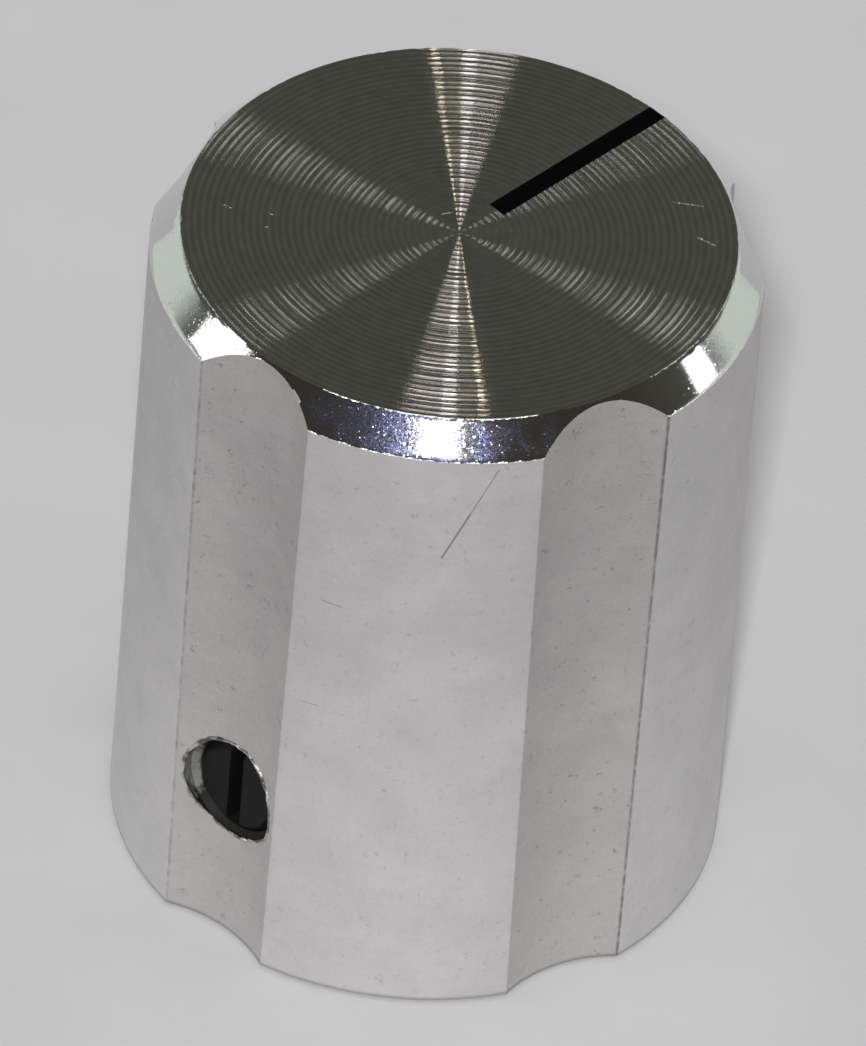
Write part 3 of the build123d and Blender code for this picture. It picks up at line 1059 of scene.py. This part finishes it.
def add_ceiling_strip(name, beam, width, radiance, colour):
    """A long lamp above the knob. It lies where the face's rings turn it into one beam, which leaves the
    centre so many degrees round from the camera's side."""
    lean = math.atan(math.tan(math.radians(beam)) * strip_lean)
    along = Vector((0.0, strip_mirror)) + Vector((math.sin(lean), -math.cos(lean))) * strip_reach
    a = math.radians(view_azimuth)
    x = along.x * math.cos(a) - along.y * math.sin(a)
    y = along.x * math.sin(a) + along.y * math.cos(a)
    matrix = Matrix.Translation((x, y, strip_ceiling)) @ Matrix.Rotation(a + lean, 4, "Z")
    add_area_lamp(name, matrix, width, strip_length, radiance, colour)


def light_the_scene():
    """A lamp at the camera, strips overhead, dim boxes at the sides, and a room that is pale low down."""
    add_soft_box("at_camera", direction(268.5, 43.2) * 4.0, 0.27, 0.27, 498.0)
    add_ceiling_strip("strip_warm", 7.0, 0.010, 20.0, "#FFEFDC")
    add_ceiling_strip("strip_middle", 0.7, 0.04, 10.0, "#FFF6FA")
    add_ceiling_strip("strip_wide", -3.9, 0.10, 4.0, "#FFF0F4")
    add_ceiling_strip("strip_faint", 4.3, 0.05, 1.8, "#FFF0E6")
    add_soft_box("right_panel", direction(41, 44) * 1.2, 0.27, 0.25, 2.2)
    add_soft_box("left_panel", direction(147, 52.7) * 1.2, 0.20, 0.26, 2.3)
    add_soft_box("left_box", direction(180.5, 21.5), 0.34, 0.17, 1.7)
    add_soft_box("right_box", direction(9.5, 17), 0.15, 0.16, 2.0)
    add_soft_box("left_low", direction(195, 9), 0.3, 0.24, 5.5)
    add_soft_box("right_low", direction(345, 9), 0.3, 0.24, 5.5)

    world = bpy.data.worlds.new("room")
    world.use_nodes = True
    bpy.context.scene.world = world
    tree = world.node_tree
    outwards = add_node(tree, "ShaderNodeTexCoord").outputs["Generated"]
    level = add_node(tree, "ShaderNodeSeparateXYZ", (outwards,)).outputs["Z"]
    pale_below, dim_above = (math.sin(math.radians(angle)) for angle in (9, 17))
    rise = add_node(
        tree, "ShaderNodeMapRange", (level, pale_below, dim_above), interpolation_type="SMOOTHSTEP"
    )
    front = tuple(direction(270, 0))
    towards = add_node(tree, "ShaderNodeVectorMath", (outwards, front), operation="DOT_PRODUCT")
    near = add_node(tree, "ShaderNodeMapRange", (towards, -0.5, 0.3))
    behind = add_node(tree, "ShaderNodeMapRange", (towards, -0.88, -0.75, 1.0, 0.0))
    room = add_node(tree, "ShaderNodeMix", {"Factor": near, "A": "#585A54", "B": "#37342E"}, data_type="RGBA")
    dim = add_node(tree, "ShaderNodeMath", (rise, behind), operation="MAXIMUM")
    colour = add_node(tree, "ShaderNodeMix", {"Factor": dim, "A": "#CFD6CE", "B": room}, data_type="RGBA")
    feed(tree.nodes["Background"], {"Color": colour})


def aim_camera():
    """The photograph's camera, far off with a long lens, turned a little about its own axis."""
    a, e, roll = (math.radians(v) for v in (view_azimuth, view_elevation, view_roll))
    back = Vector((math.sin(a) * math.cos(e), -math.cos(a) * math.cos(e), math.sin(e)))
    level = Vector((math.cos(a), math.sin(a), 0))
    upright = back.cross(level)
    right = level * math.cos(roll) + upright * math.sin(roll)
    up = upright * math.cos(roll) - level * math.sin(roll)
    per_pixel = view_distance / focal_pixels
    target = Vector((0, 0, look_at_height))
    target += (up * centre_shift[1] - right * centre_shift[0]) * per_pixel
    data = bpy.data.cameras.new("camera")
    data.sensor_width = sensor_long_side
    data.lens = focal_pixels / photo_height * sensor_long_side
    data.clip_start, data.clip_end = 0.1, 10.0
    camera = bpy.data.objects.new("camera", data)
    turned = Matrix((right, up, back)).transposed().to_4x4()
    camera.matrix_world = Matrix.Translation(target + back * view_distance) @ turned
    bpy.context.scene.collection.objects.link(camera)
    bpy.context.scene.camera = camera


bpy.context.scene.view_settings.view_transform = "Standard"
aim_camera()
light_the_scene()
make_floor(paper())
finishes = {
    "bored": bored_aluminium(),
    "turned": satin_aluminium(
        "turned_satin_aluminium", light="#D7D5D6", dark="#C0BEBF", roughness=0.85, smudge=0.3
    ),
    # Painted shade: the flutes' copy of the satin finish is painted a darker grey than the wall's, for the
    # shade in the hollow flutes, and has more pits
    "milled": satin_aluminium(
        "milled_satin_aluminium_painted_shade", light="#CCCACA", dark="#B3B1B1", roughness=0.9, smudge=0.55
    ),
    "bright_cut": bright_cut_aluminium(),
    "spun": spun_aluminium(),
    "tapped": tapped_aluminium(),
    "torn": torn_aluminium(),
}
make_knob(finishes)
make_pointer_fill(black_enamel())
make_screw(black_oxide_steel())
